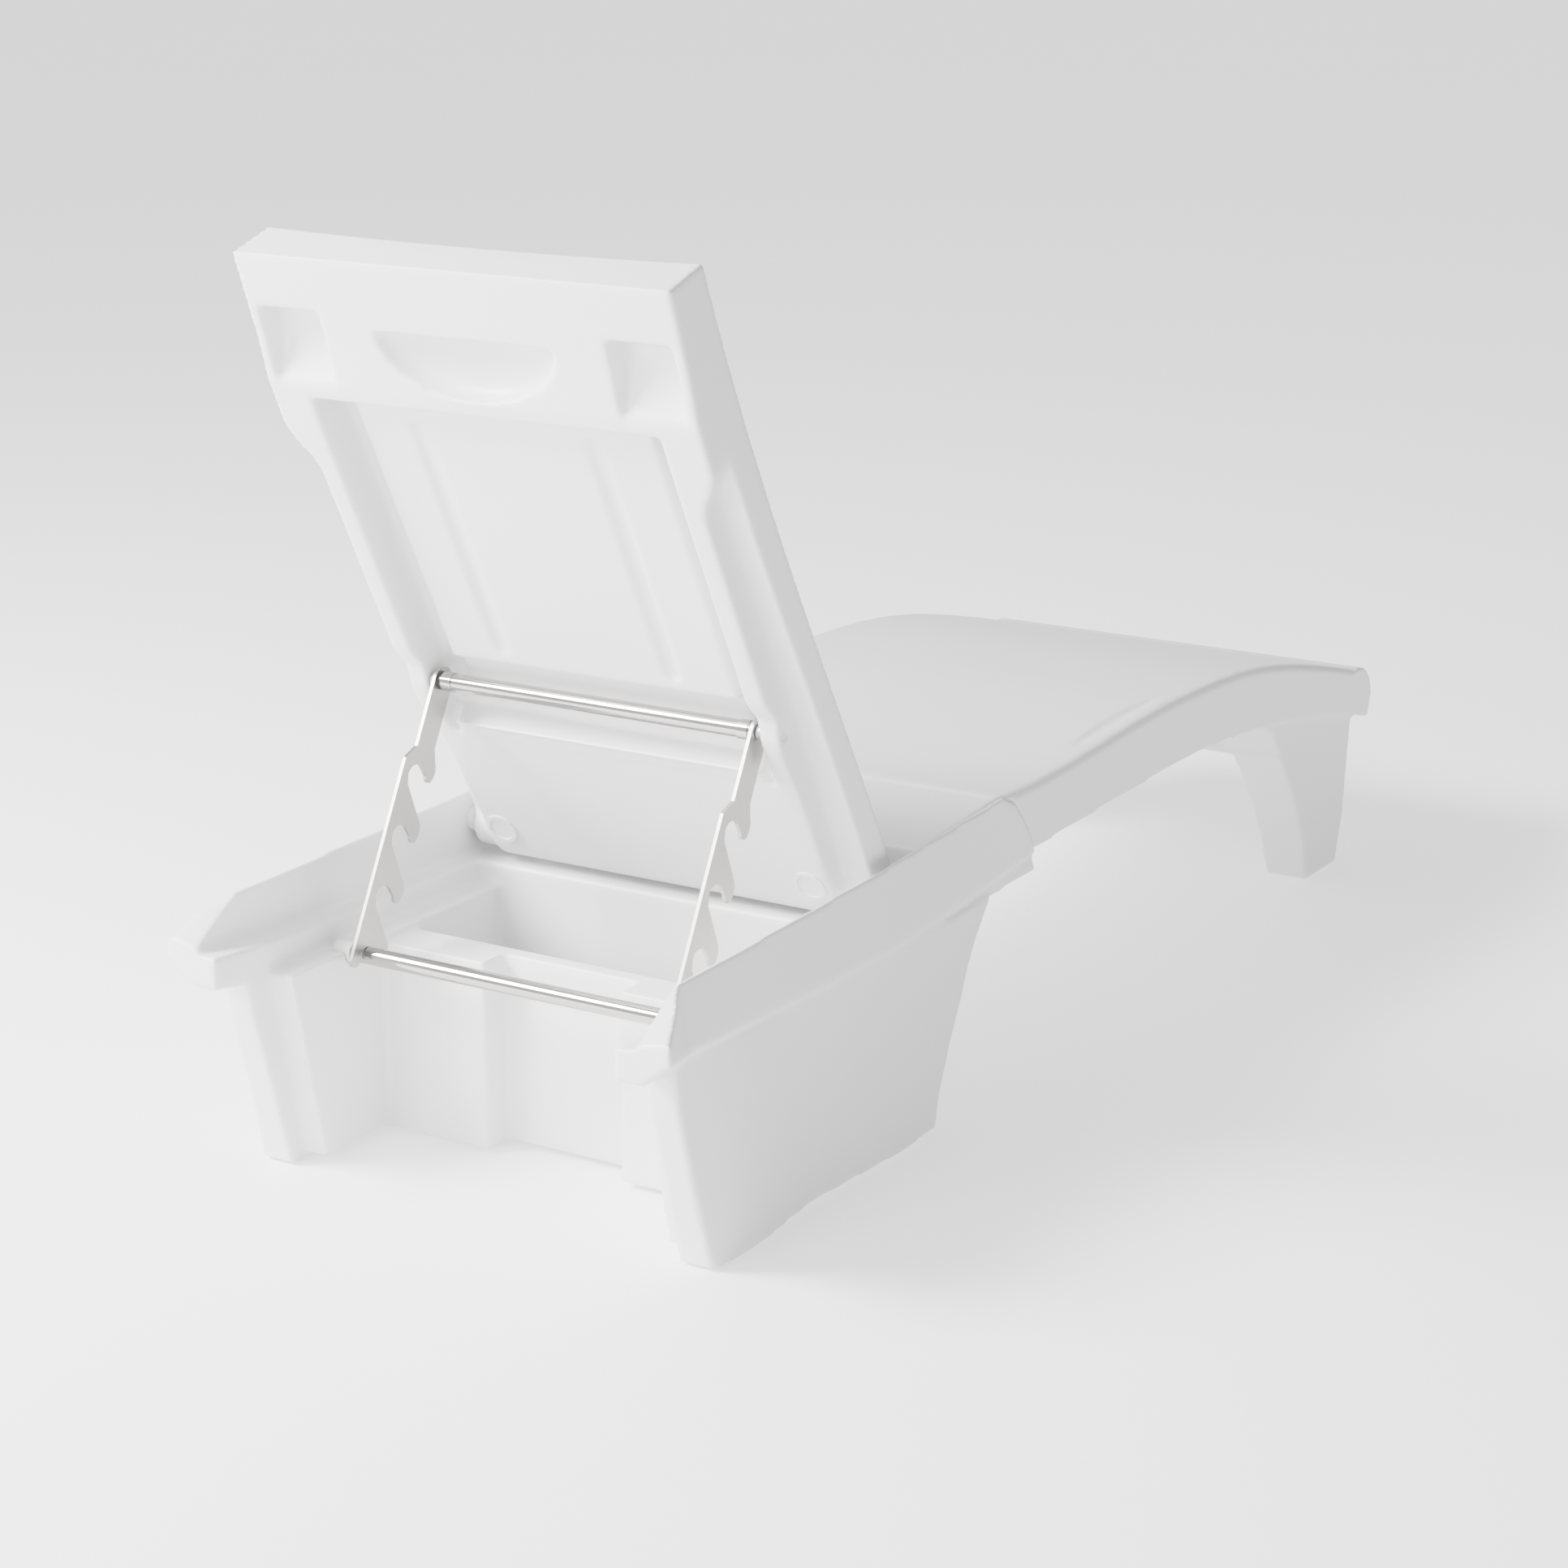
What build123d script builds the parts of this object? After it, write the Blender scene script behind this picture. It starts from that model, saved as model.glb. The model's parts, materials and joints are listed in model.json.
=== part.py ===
from build123d import *
import os
from math import cos, radians, sin

os.makedirs("parts", exist_ok=True)

# Reclining sun lounger: two hollow moulded sections bolted together, a hinged moulded backrest, and
# a swinging prop of steel tube and hooked bars that catches a rod between the two rear pillars.
# Millimetres. +X points to the foot end, +Y to the sitter's left, +Z up. The origin is on the
# ground at the middle of the lounger's length and width, with the backrest raised.

# ---- overall sizes -------------------------------------------------------------------------
overall_length = 1865.0  # rear faces of the rails to the foot end, backrest raised
base_length = 838.0  # rear faces of the rails to the lowest point of the seam with the seat
side_half = 300.0  # half the width over the side panels
wall = 4.5  # skin of the moulded sections

# ---- base moulding -------------------------------------------------------------------------
rail_inner = 283.0  # half widths, from the rails inwards
ledge_inner = 257.0
pillar_inner = 228.0
rail_crest = 6.0  # width of the narrow top of a rail
flare_half = side_half + 25.0  # half the width over the flared rear tips of the rails
ledge_top = 277.0  # at the rear; the ledge falls to deck_top at the bin
shelf_top = 236.0
deck_top = 262.0
deck_thickness = 26.0
block_bottom = 240.0
bin_floor_low = 6.0
bin_floor_top = 30.0
bin_rear = 254.0  # stations along the base, from the rear faces of the rails
bin_wall = 61.0
bin_notch = 38.0  # the middle of the bin's rear wall is set forward
bin_notch_half = 90.0
bin_rear_top = 228.0
bin_front = 475.0
bin_front_wall = 55.0
glide_height = 3.0
glide_radius = 13.0

# ---- seat moulding -------------------------------------------------------------------------
seat_half = 289.0
leg_outer = 284.0
leg_inner = 222.0
seam_gap = 1.0
tongue_start = 573.0
tongue_gap = 4.0  # from the tongue's sides to the rails
tongue_rise = 73.0  # height of the tongue's rear edge over the deck

# ---- backrest ------------------------------------------------------------------------------
recline_angle = 62.5  # from level, backrest raised
pivot_station = 502.5
pivot_z = 303.0
deck_half = 271.0
body_half = 245.0
recess_half = 219.0
back_length = 824.0  # pivot to the top edge
rim_back = 56.5  # how far the rear rim stands behind the pivot
recess_floor = 30.0
recess_start = 282.0
recess_end = 659.0
heel_radius = 34.0  # round lower end about the pivot

# ---- prop and catch rod --------------------------------------------------------------------
tube_along = 259.3  # place of the prop's axis on the backrest
tube_behind = 40.1
tube_radius = 10.0
tube_wall = 1.5
arm_y = 209.0
arm_thickness = 4.0
hook_count = 4
hook_pitch = 70.0
first_hook = 99.0  # from the prop's axis to the top of the first notch
arm_angle = 62.5  # the arms slope down and back, from level
rod_radius = 10.0
rod_engagement = 20.0  # length of rod inside each pillar
socket_wall = 2.0
socket_stand = 3.0  # the socket stands in from the pillar by this much

# ---- pins, bushes and fasteners ------------------------------------------------------------
running_clearance = 0.05
hinge_pin_radius = 6.0
hinge_bush_wall = 3.0
hinge_bush_depth = 8.0
prop_pin_radius = 5.0
bolt_radius = 4.0
bolt_stations = (610.0, 700.0)
bolt_y = (-190.0, 190.0)

rear = -overall_length / 2
foot = overall_length / 2
seam = rear + base_length


def at(station):
    """X of a place on the base, from its distance to the rear faces of the rails."""
    return rear + station


def from_foot(distance):
    """X of a place on the seat, from its distance to the foot end."""
    return foot - distance


def prism(plane, points, amount, mode=Mode.ADD, both=False):
    """Adds to the part in hand a straight prism on a closed outline of points."""
    with BuildSketch(plane) as outline:
        with BuildLine():
            Polyline(*points, close=True)
        make_face()
    extrude(outline.sketch, amount=amount, both=both, mode=mode)


def side_slab(points, y_low, y_high, mode=Mode.ADD):
    """A slab between two widths, with its outline in the X-Z plane."""
    prism(Plane.XZ.offset(-y_low), points, y_low - y_high, mode)


def block(x_low, x_high, y_low, y_high, z_low, z_high, mode=Mode.ADD):
    """A plain block between six planes."""
    corners = [(x_low, y_low), (x_high, y_low), (x_high, y_high), (x_low, y_high)]
    prism(Plane.XY.offset(z_low), corners, z_high - z_low, mode)


def round_bar(x, z, y_from, y_to, radius, mode=Mode.ADD):
    """A round bar along Y between two widths."""
    with BuildSketch(Plane(origin=(x, y_from, z), z_dir=(0, 1, 0))) as end:
        Circle(radius)
    extrude(end.sketch, amount=y_to - y_from, mode=mode)


def cross_loft(sections):
    """Straight-sided loft through cross sections, each an x and its outline of (y, z) points."""
    faces = []
    for x, points in sections:
        with BuildSketch(Plane.YZ.offset(x)) as profile:
            with BuildLine():
                Polyline(*points, close=True)
            make_face()
        faces.append(profile.sketch)
    loft(faces, ruled=True)


# ---- reference places ----------------------------------------------------------------------
up = (-cos(radians(recline_angle)), 0, sin(radians(recline_angle)))
behind = (-sin(radians(recline_angle)), 0, -cos(radians(recline_angle)))
pivot = (at(pivot_station), 0, pivot_z)
back_plane = Plane(origin=pivot, x_dir=up, z_dir=(0, -1, 0))  # local x up the back, y behind it
back_face = Plane(origin=pivot, x_dir=up, z_dir=behind)  # seen square from behind


def on_back(along, rearward):
    """X and Z of a place on the raised backrest."""
    return (
        pivot[0] + along * up[0] + rearward * behind[0],
        pivot[2] + along * up[2] + rearward * behind[2],
    )


def behind_plane(rearward, along=0.0, y=0.0):
    """A plane parallel to the backrest: local x runs up the back, z points behind it."""
    x, z = on_back(along, rearward)
    return Plane(origin=(x, y, z), x_dir=up, z_dir=behind)


tube_x, tube_z = on_back(tube_along, tube_behind)
arm_down = (-cos(radians(arm_angle)), 0, -sin(radians(arm_angle)))
arm_forward = (sin(radians(arm_angle)), 0, -cos(radians(arm_angle)))
notch_offset = -2.0  # notch centres lie a little behind the line from the prop's axis
rod_along = first_hook + (hook_count - 1) * hook_pitch + rod_radius
rod_x = tube_x + rod_along * arm_down[0] + notch_offset * arm_forward[0]
rod_z = tube_z + rod_along * arm_down[2] + notch_offset * arm_forward[2]


# ---- base moulding -------------------------------------------------------------------------
pillar_rear = [(at(89), shelf_top), (at(100), 189), (at(113), 128), (at(130), 46), (at(139), 8)]
leg_rear = [(at(52), 231), (at(62), 185), (at(78), 133), (at(93), 80), (at(108), 27), (at(114), 3)]
panel_front = [(at(585), 3), (at(599), 42), (at(626), 98), (at(654), 148), (at(685), 198)]
nose = [(at(719), 238), (at(748), 256), (at(788), 259), (seam, 269)]


def panel_outline(inset, top):
    """Side view of a pillar, side panel and front edge, up to the height given."""
    low = glide_height + inset
    return [
        (leg_rear[0][0] + inset, top),
        *((x + inset, z) for x, z in leg_rear[:-1]),
        (leg_rear[-1][0] + inset, low),
        (panel_front[0][0] - inset, low),
        *((x - 1.2 * inset, z) for x, z in panel_front[1:]),
        (nose[0][0] - 1.5 * inset, min(top, nose[0][1])),
        (nose[0][0] - 1.5 * inset, top),
    ]


def panel_plan(inset, height, swell):
    """Plan of the left side panel at a height: its outer face swells at the pillar and at the front."""
    with BuildSketch(Plane.XY.offset(height)) as plan:
        with BuildLine():
            outer = Spline(
                (at(30), side_half - 2 - 6 * swell - inset),
                (at(113), side_half - 2 - inset),
                (at(145), side_half - 1 + 6 * swell - inset),
                (at(290), side_half - 1 - 2 * swell - inset),
                (at(400), side_half - 1 - inset),
                (at(510), side_half - 1 + 6 * swell - inset),
                (at(600), side_half - 1 - inset),
                (at(750), seat_half + 3 - inset),
            )
            Polyline(outer @ 1, (at(750), ledge_inner + inset), (at(30), ledge_inner + inset), outer @ 0)
        make_face()
    return plan.sketch


def panel_body(inset, top):
    """The side panel between its waved bottom and its straighter top, or its hollow."""
    loft([panel_plan(inset, inset, 1.0), panel_plan(inset, top, 0.1)], ruled=True)


def rail_section(x, top, low_y, low_z):
    """Cross section of the left rail: an upright inner face and an outer face that leans out."""
    return (
        x,
        [
            (rail_inner, block_bottom),
            (rail_inner, top),
            (rail_inner + rail_crest, top + 1),
            (low_y, low_z),
            (low_y - 5, low_z - 6),
            (rail_inner + 7, block_bottom),
        ],
    )


panel_top = block_bottom + 4  # the panel reaches into the rail above it
with BuildPart() as side_panel:
    panel_body(0, panel_top)
    side_slab(panel_outline(0, panel_top), ledge_inner, side_half + 20, Mode.INTERSECT)

with BuildPart() as side_void:
    panel_body(wall, panel_top - wall)
    side_slab(panel_outline(wall, panel_top - wall), ledge_inner, side_half + 20, Mode.INTERSECT)

ledge_outline = [
    (at(0), block_bottom),
    (at(0), ledge_top),
    (at(88), ledge_top - 7),
    (at(187), deck_top + 3),
    (at(470), deck_top),
    (at(770), deck_top),
    *reversed(nose[:3]),
    *reversed(panel_front),
    *reversed(leg_rear),
]
seam_curve = [(seam - 80, 351), (seam - 53, 338), (seam - 33, 317), (seam - 15, 294), (seam, 268)]
bin_inside = (at(bin_rear + bin_wall), at(bin_front))
glide_places = [(at(139), 283.0), (at(560), 283.0), (from_foot(142), 253.0)]

with BuildPart() as base_tub:
    add(side_panel.part)
    side_slab(ledge_outline, ledge_inner, rail_inner + 3)
    # rear pillar, shelf and the side wall of the bin
    side_slab(
        [*pillar_rear, (at(bin_front + bin_front_wall), 8), (at(bin_front + bin_front_wall), shelf_top)],
        pillar_inner,
        ledge_inner + 5,
    )
    # rail from the flared tip to the seam
    cross_loft(
        [
            (
                at(0),
                [
                    (rail_inner, block_bottom),
                    (rail_inner, 281),
                    (flare_half - 1, 289),
                    (flare_half + 1, 268),
                    (flare_half - 11, 258),
                    (rail_inner + 7, block_bottom - 1),
                ],
            ),
            (
                at(35),
                [
                    (rail_inner, block_bottom),
                    (rail_inner, 304),
                    (rail_inner + 26, 312),
                    (side_half + 16, 263),
                    (side_half + 6, 254),
                    (rail_inner + 7, block_bottom - 0.5),
                ],
            ),
            rail_section(at(70), 326, side_half + 3.5, 256),
            rail_section(at(328), 332, side_half + 2, 249),
            rail_section(at(500), 337.5, side_half + 2, 249),
            rail_section(at(647), 345, side_half - 1, 256),
            rail_section(seam, 354, seat_half + 3, 268),
        ]
    )
    # bin: rear wall with its middle set forward, floor, front wall, and the deck under the seat
    block(at(bin_rear), bin_inside[0], 0, pillar_inner + 4, bin_floor_low, bin_rear_top)
    block(at(bin_rear), bin_inside[1], 0, pillar_inner + 4, bin_floor_low, bin_floor_top)
    block(bin_inside[1], at(bin_front + bin_front_wall), 0, ledge_inner + 5, bin_floor_low, deck_top)
    block(bin_inside[1], seam - 78, 0, rail_inner + 1, deck_top - deck_thickness, deck_top)
    block(
        at(bin_rear) - 1,
        at(bin_rear + bin_notch),
        0,
        bin_notch_half,
        0,
        bin_rear_top + 1,
        Mode.SUBTRACT,
    )
    # the seam: the rails end on a curve that the seat's sides follow
    side_slab(
        [*seam_curve, (seam + 40, 240), (seam + 40, 380), (seam - 80, 380)],
        pillar_inner,
        flare_half + 10,
        Mode.SUBTRACT,
    )
    # hollow inside the double walls
    add(side_void.part, mode=Mode.SUBTRACT)
    side_slab(
        [
            (at(102), rod_z - rod_radius - socket_wall - wall),
            (at(110), 189),
            (at(123), 128),
            (at(140), 46),
            (at(147), 8 + wall),
            (at(bin_front + bin_front_wall) - wall, 8 + wall),
            (at(bin_front + bin_front_wall) - wall, rod_z - rod_radius - socket_wall - wall),
        ],
        pillar_inner + wall,
        ledge_inner + wall + 1,
        Mode.SUBTRACT,
    )
    block(
        at(bin_rear) + wall,
        bin_inside[0] - wall,
        bin_notch_half + wall,
        pillar_inner + wall + 1,
        bin_floor_low + wall,
        bin_rear_top - wall,
        Mode.SUBTRACT,
    )
    block(
        at(bin_rear + bin_notch) + wall,
        bin_inside[1] + wall + 1,
        0,
        pillar_inner + wall + 1,
        bin_floor_low + wall,
        bin_floor_top - wall,
        Mode.SUBTRACT,
    )
    block(
        bin_inside[1] + wall,
        at(bin_front + bin_front_wall) - wall,
        0,
        ledge_inner,
        bin_floor_low + wall,
        deck_top - wall,
        Mode.SUBTRACT,
    )
    mirror(about=Plane.XZ)
    # sockets for the catch rod, blind holes for the hinge bushes, holes for the seat bolts
    for side in (1, -1):
        socket_bottom = side * (pillar_inner + rod_engagement)
        round_bar(rod_x, rod_z, side * pillar_inner, socket_bottom, rod_radius + socket_wall, Mode.SUBTRACT)
        bush_bottom = side * (rail_inner + hinge_bush_depth)
        bush_hole = hinge_pin_radius + hinge_bush_wall
        round_bar(pivot[0], pivot_z, side * rail_inner, bush_bottom, bush_hole, Mode.SUBTRACT)
    with BuildSketch(Plane.XY.offset(deck_top - deck_thickness - 1)) as bolt_holes:
        with Locations(*[(at(s), y) for s in bolt_stations for y in bolt_y]):
            Circle(bolt_radius + 0.5)
    extrude(bolt_holes.sketch, amount=deck_thickness + 2, mode=Mode.SUBTRACT)
base_tub.part.label = "base_tub"
export_step(base_tub.part, "parts/base_tub.step")


# ---- seat moulding -------------------------------------------------------------------------
def seat_outline(inset):
    """Side view of the seat, or of its hollow: it dips, rises at the knees and drops at the foot."""
    with BuildSketch(Plane.XZ) as outline:
        with BuildLine():
            top = Spline(
                (seam - 80 + seam_gap + 4.5 * inset, 351 - inset),
                (at(962), 353.5 - inset),
                (at(1176), 364 - inset),
                (from_foot(575), 363.5 - inset),
                (from_foot(418), 354.5 - inset),
                (from_foot(197), 313 - inset),
                (from_foot(58), 277 - inset),
            )
            nose_arc = ThreePointArc(top @ 1, (from_foot(10 + inset), 257 - inset), (foot - inset, 230))
            end = Line(nose_arc @ 1, (from_foot(11 + inset), 198 + inset))
            under = Spline(
                end @ 1,
                (from_foot(190), 240 + inset),
                (from_foot(448), 272 + inset),
                (from_foot(575), 279 + inset),
                (at(1126), 277 + inset),
                (at(1008), 274 + inset),
                (seam + seam_gap + inset, 268 + inset),
            )
            Polyline(under @ 1, *[(x + seam_gap + 1.5 * inset, z) for x, z in seam_curve[-2:0:-1]], top @ 0)
        make_face()
    return outline.sketch


leg_back = [(from_foot(367), 262), (from_foot(326), 244), (from_foot(280), 182), (from_foot(232), 112)]
leg_back = [*leg_back, (from_foot(210), 60), (from_foot(193), glide_height)]
leg_front = [(from_foot(92), glide_height), (from_foot(72), 72), (from_foot(58), 202), (from_foot(58), 240)]
leg_root = [(from_foot(90), 258), (from_foot(340), 276)]  # inside the seat
leg_lean = 20.0  # the inner face leans in by this much at the top


def leg(inset):
    """Left front leg: wide under the foot end, tapering to the ground, inner face leaning out."""
    back = [(x + 1.3 * inset, max(z, glide_height + inset)) for x, z in leg_back]
    front = [(x - inset, max(z, glide_height + inset)) for x, z in leg_front]
    inside = [(x, z - inset) for x, z in leg_root]
    prism(Plane.XZ, [*back, *front, *inside], -(leg_outer - inset))
    prism(
        Plane.YZ.offset(from_foot(500)),
        [(-1, -1), (leg_inner + inset, -1), (leg_inner + inset - leg_lean, 270), (-1, 270)],
        600,
        Mode.SUBTRACT,
    )


with BuildPart() as left_leg:
    leg(0)
with BuildPart() as leg_void:
    leg(wall)

crescent_start = from_foot(900)
crescent_end = from_foot(620)
crescent_y = 262.0
crescent_depth = 3.0
cross_top = 262.0  # the seat's underside steps down here to tie the two legs together
cross_low = 199.0
tongue_half = rail_inner - tongue_gap

with BuildPart() as seat_core:
    extrude(seat_outline(crescent_depth), amount=seat_half, both=True)

with BuildPart() as seat_section:
    extrude(seat_outline(0), amount=seat_half, both=True)
    top_sides = seat_section.edges().filter_by(lambda e: e.length > 700).group_by(Axis.Z)[-1]
    fillet(top_sides, radius=10)
    # long crescent groove beside each edge of the seat
    for side in (1, -1):
        with BuildSketch(Plane.XY.offset(320)) as crescent:
            with BuildLine():
                inner_arc = ThreePointArc(
                    (crescent_start, side * crescent_y),
                    ((crescent_start + crescent_end) / 2, side * (crescent_y - 13)),
                    (crescent_end, side * crescent_y),
                )
                ThreePointArc(
                    inner_arc @ 0,
                    ((crescent_start + crescent_end) / 2, side * (crescent_y + 7)),
                    inner_arc @ 1,
                )
            make_face()
        groove = extrude(crescent.sketch, amount=80, mode=Mode.PRIVATE)
        add(groove - seat_core.part, mode=Mode.SUBTRACT)
    # tongue between the rails, bolted down on the base
    side_slab(
        [
            (at(tongue_start), deck_top),
            (at(tongue_start), deck_top + tongue_rise),
            (seam - 70, 349),
            (seam + 30, 349),
            (seam + 30, deck_top + 10),
            (seam - 78, deck_top),
        ],
        -tongue_half,
        tongue_half,
    )
    side_slab(
        [
            (from_foot(300), cross_top + 20),
            (from_foot(300), cross_low),
            (from_foot(75), cross_low),
            (from_foot(75), cross_top - 10),
        ],
        -leg_outer,
        leg_outer,
    )
    add(left_leg.part)
    add(mirror(left_leg.part, about=Plane.XZ, mode=Mode.PRIVATE))
    # hollow inside
    extrude(seat_outline(wall), amount=seat_half - wall - 2, both=True, mode=Mode.SUBTRACT)
    side_slab(
        [
            (at(tongue_start) + wall, deck_top + wall),
            (at(tongue_start) + wall, deck_top + tongue_rise - wall - 1),
            (seam - 75, 349 - wall - 1),
            (seam + 20, 349 - wall - 4),
            (seam + 20, 290),
            (seam - 78, deck_top + wall),
        ],
        -(tongue_half - wall),
        tongue_half - wall,
        Mode.SUBTRACT,
    )
    side_slab(
        [
            (from_foot(295), cross_top + 10),
            (from_foot(295), cross_low + wall),
            (from_foot(80), cross_low + wall),
            (from_foot(80), 240),
        ],
        -(leg_outer - wall),
        leg_outer - wall,
        Mode.SUBTRACT,
    )
    add(leg_void.part, mode=Mode.SUBTRACT)
    add(mirror(leg_void.part, about=Plane.XZ, mode=Mode.PRIVATE), mode=Mode.SUBTRACT)
    # bosses round the bolts, with blind holes for the threaded inserts
    with BuildSketch(Plane.XY.offset(deck_top + 1)) as bosses:
        with Locations(*[(at(s), y) for s in bolt_stations for y in bolt_y]):
            Circle(bolt_radius + 8)
    extrude(bosses.sketch, amount=40)
    with BuildSketch(Plane.XY.offset(deck_top)) as insert_holes:
        with Locations(*[(at(s), y) for s in bolt_stations for y in bolt_y]):
            Circle(bolt_radius + 2.5)
    extrude(insert_holes.sketch, amount=20, mode=Mode.SUBTRACT)
seat_section.part.label = "seat_section"
export_step(seat_section.part, "parts/seat_section.step")


# ---- backrest moulding ---------------------------------------------------------------------
front_line = [(0, -36), (200, -30.5), (420, -21.5), (610, -19.4), (back_length - 10, -29.6)]
strip_line = [(618, 23.9), (507, 23.1), (397, 18.9), (286, 12.9), (167, 8.7), (20, 6.1)]
rim_line = [(back_length, 34.2), (728, 45.2), (677, 54.6), (630, rim_back), (316, rim_back + 1)]
rim_line = [*rim_line, (300, 54), (289, 48), (278, 48.5), (258, 53.5), (235, 54.5), (208, 51)]
rim_line = [*rim_line, (186, 46), (131, 41), (0, heel_radius)]
head_start = 626.0  # the backrest is full width and full depth from here up
shoulder_start = 554.0
lean_start = 290.0  # below here the sides of the body lean in towards the heel
lean = 15.0
scoop_top = 745.0
scoop_half = 112.0
pocket_start = 676.0
pocket_end = 762.0
pocket_inner = 179.0
pocket_floor = 9.0
channel_inner = 189.0
pocket_outer = 257.5
pin_start = 222.0  # inner end of the hinge pin's bore
cover_along = 30.0
cover_seat = 34.5
cover_radius = 20.0


def back_outline(points, inset):
    """Side view between the sitting face and a line of points behind it, round at the heel."""
    with BuildSketch(back_plane) as outline:
        with BuildLine():
            face = Spline(*[(a, b + inset) for a, b in front_line])
            behind_line = Polyline(face @ 1, *[(a - inset, b - inset) for a, b in points])
            ThreePointArc(behind_line @ 1, (inset - heel_radius, 0), face @ 0)
        make_face()
    return outline.sketch


def back_plan(inset):
    """Seen from behind: a narrow body that swells into the full-width head."""
    half = body_half - inset
    full = deck_half - inset
    with BuildSketch(back_face) as plan:
        with BuildLine():
            Polyline(
                (shoulder_start, half),
                (lean_start, half),
                (-60, half - lean),
                (-60, -half + lean),
                (lean_start, -half),
                (shoulder_start, -half),
            )
            right = Spline(
                (shoulder_start, -half),
                (head_start, -full),
                tangents=((1, 0), (1, 0)),
            )
            top = Line((back_length + 20, -full), (back_length + 20, full))
            Line(right @ 1, top @ 0)
            left = Spline((head_start, full), (shoulder_start, half), tangents=((-1, 0), (-1, 0)))
            Line(top @ 1, left @ 0)
        make_face()
    return plan.sketch


def slab_on_back(points, y_low, y_high, mode=Mode.ADD):
    """A slab between two widths, with its outline on the backrest's own side view."""
    plane = Plane(origin=(pivot[0], y_high, pivot[2]), x_dir=up, z_dir=(0, -1, 0))
    prism(plane, points, y_high - y_low, mode)


strip = [(back_length, 34.2), (728, 30), *strip_line]

with BuildPart() as backrest_panel:
    extrude(back_outline(rim_line, 0), amount=deck_half + 1, both=True)
    extrude(back_plan(0), amount=200, both=True, mode=Mode.INTERSECT)
    # the sitting deck, wider than the body behind it, with an eye for each hinge pin
    extrude(back_outline(strip, 0), amount=deck_half, both=True)
    # recess behind the deck: a raised floor with a deep channel for the arm on each side
    slab_on_back(
        [(recess_start, recess_floor), (recess_end, recess_floor), (recess_end, 80), (recess_start, 80)],
        -recess_half,
        recess_half,
        Mode.SUBTRACT,
    )
    # trough under the prop tube, with ways out for the two arms through the lower ledge
    trough_floor = 17.0
    slab_on_back(
        [(204, 80), (212, trough_floor), (recess_start + 6, trough_floor), (recess_start + 14, 80)],
        -recess_half,
        recess_half,
        Mode.SUBTRACT,
    )
    # lower ledge: the panel under it is set in between the sides
    slab_on_back([(150, 60), (175, 47.8), (206, 47.8), (206, 80), (150, 80)], -213, 213, Mode.SUBTRACT)
    for side in (1, -1):
        # channel that takes the arm when the backrest lies flat, and its way past the lower ledge
        channel = sorted((side * channel_inner, side * recess_half))
        slab_on_back([(235, 8), (recess_end, 8), (recess_end, 80), (235, 80)], *channel, Mode.SUBTRACT)
        slot = (side * arm_y - 6.0, side * arm_y + 6.0)
        slab_on_back([(188, 60), (188, 38), (240, 12), (240, 60)], *slot, Mode.SUBTRACT)
        # wedge pockets in the head
        low, high = sorted((side * pocket_inner, side * pocket_outer))
        with BuildSketch(Plane(origin=(pivot[0], high, pivot[2]), x_dir=up, z_dir=(0, -1, 0))) as pocket:
            with BuildLine():
                floor = ThreePointArc((pocket_end, pocket_floor), (712, 24), (pocket_start, 54))
                Polyline(floor @ 1, (pocket_start, 80), (pocket_end, 80), floor @ 0)
            make_face()
        extrude(pocket.sketch, amount=high - low, mode=Mode.SUBTRACT)
    # hand scoop
    scoop = scale(Sphere(1, mode=Mode.PRIVATE), by=(70, scoop_half, 30), mode=Mode.PRIVATE)
    scoop = split(scoop, bisect_by=Plane.YZ, keep=Keep.BOTTOM, mode=Mode.PRIVATE)
    add(behind_plane(45, scoop_top).location * scoop, mode=Mode.SUBTRACT)
    # two shallow grooves in the recess floor
    with BuildSketch(behind_plane(recess_floor + 2)) as grooves:
        with Locations((464, 112), (464, -112)):
            SlotOverall(322, 22)
    extrude(grooves.sketch, amount=-7, mode=Mode.SUBTRACT)
    # hollow: the deck and lower panel, then on each side the deck's edge, the head and the rim
    recess_skin = recess_floor - 7 - wall
    low_face = [(a, b + wall) for a, b in front_line]
    face_end = (back_length - 10 - wall, front_line[-1][1] + wall)
    head_rear = (pocket_end, pocket_floor - wall)
    head_front = (pocket_end, -22)
    slab_on_back(
        [
            (back_length - 2 * wall, 34.2 - wall),
            (pocket_end + wall, 40 - wall),
            (pocket_end + wall, -2),
            (655, 12),
            (640, recess_skin),
            (300, recess_skin),
            (280, trough_floor - wall),
            (200, trough_floor - wall),
            (200, 42),
            (131, 36),
            (0, 29),
            (-19, 21),
            (wall - heel_radius, 0),
            (-19, -21),
            *low_face[:-1],
            face_end,
        ],
        wall - channel_inner,
        channel_inner - wall,
        Mode.SUBTRACT,
    )
    for side in (1, -1):
        low, high = sorted((side * (channel_inner - wall - 1), side * (recess_half + wall)))
        behind_slot = [(680, 12), (666, 3), (300, 3), (250, 0), (200, -10)]
        slab_on_back([head_rear, *behind_slot, *low_face[1:-1], head_front], low, high, Mode.SUBTRACT)
        low, high = sorted((side * (recess_half + 1), side * (deck_half - wall)))
        behind_edge = [(620, 14), (600, 18), (397, 13), (286, 7), (120, 2)]
        slab_on_back([head_rear, *behind_edge, *low_face[1:-1], head_front], low, high, Mode.SUBTRACT)
        low, high = sorted((side * (scoop_half + wall), side * (pocket_inner - wall)))
        head_void = [(665, 10), (675, 44), (pocket_end + 10, 34), (pocket_end + 10, 10)]
        slab_on_back(head_void, low, high, Mode.SUBTRACT)
        low, high = sorted((side * (recess_half + wall), side * (body_half - wall)))
        rim_void = [(600, 10), (600, rim_back - wall), (320, rim_back - wall), (320, 0)]
        slab_on_back(rim_void, low, high, Mode.SUBTRACT)
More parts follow.
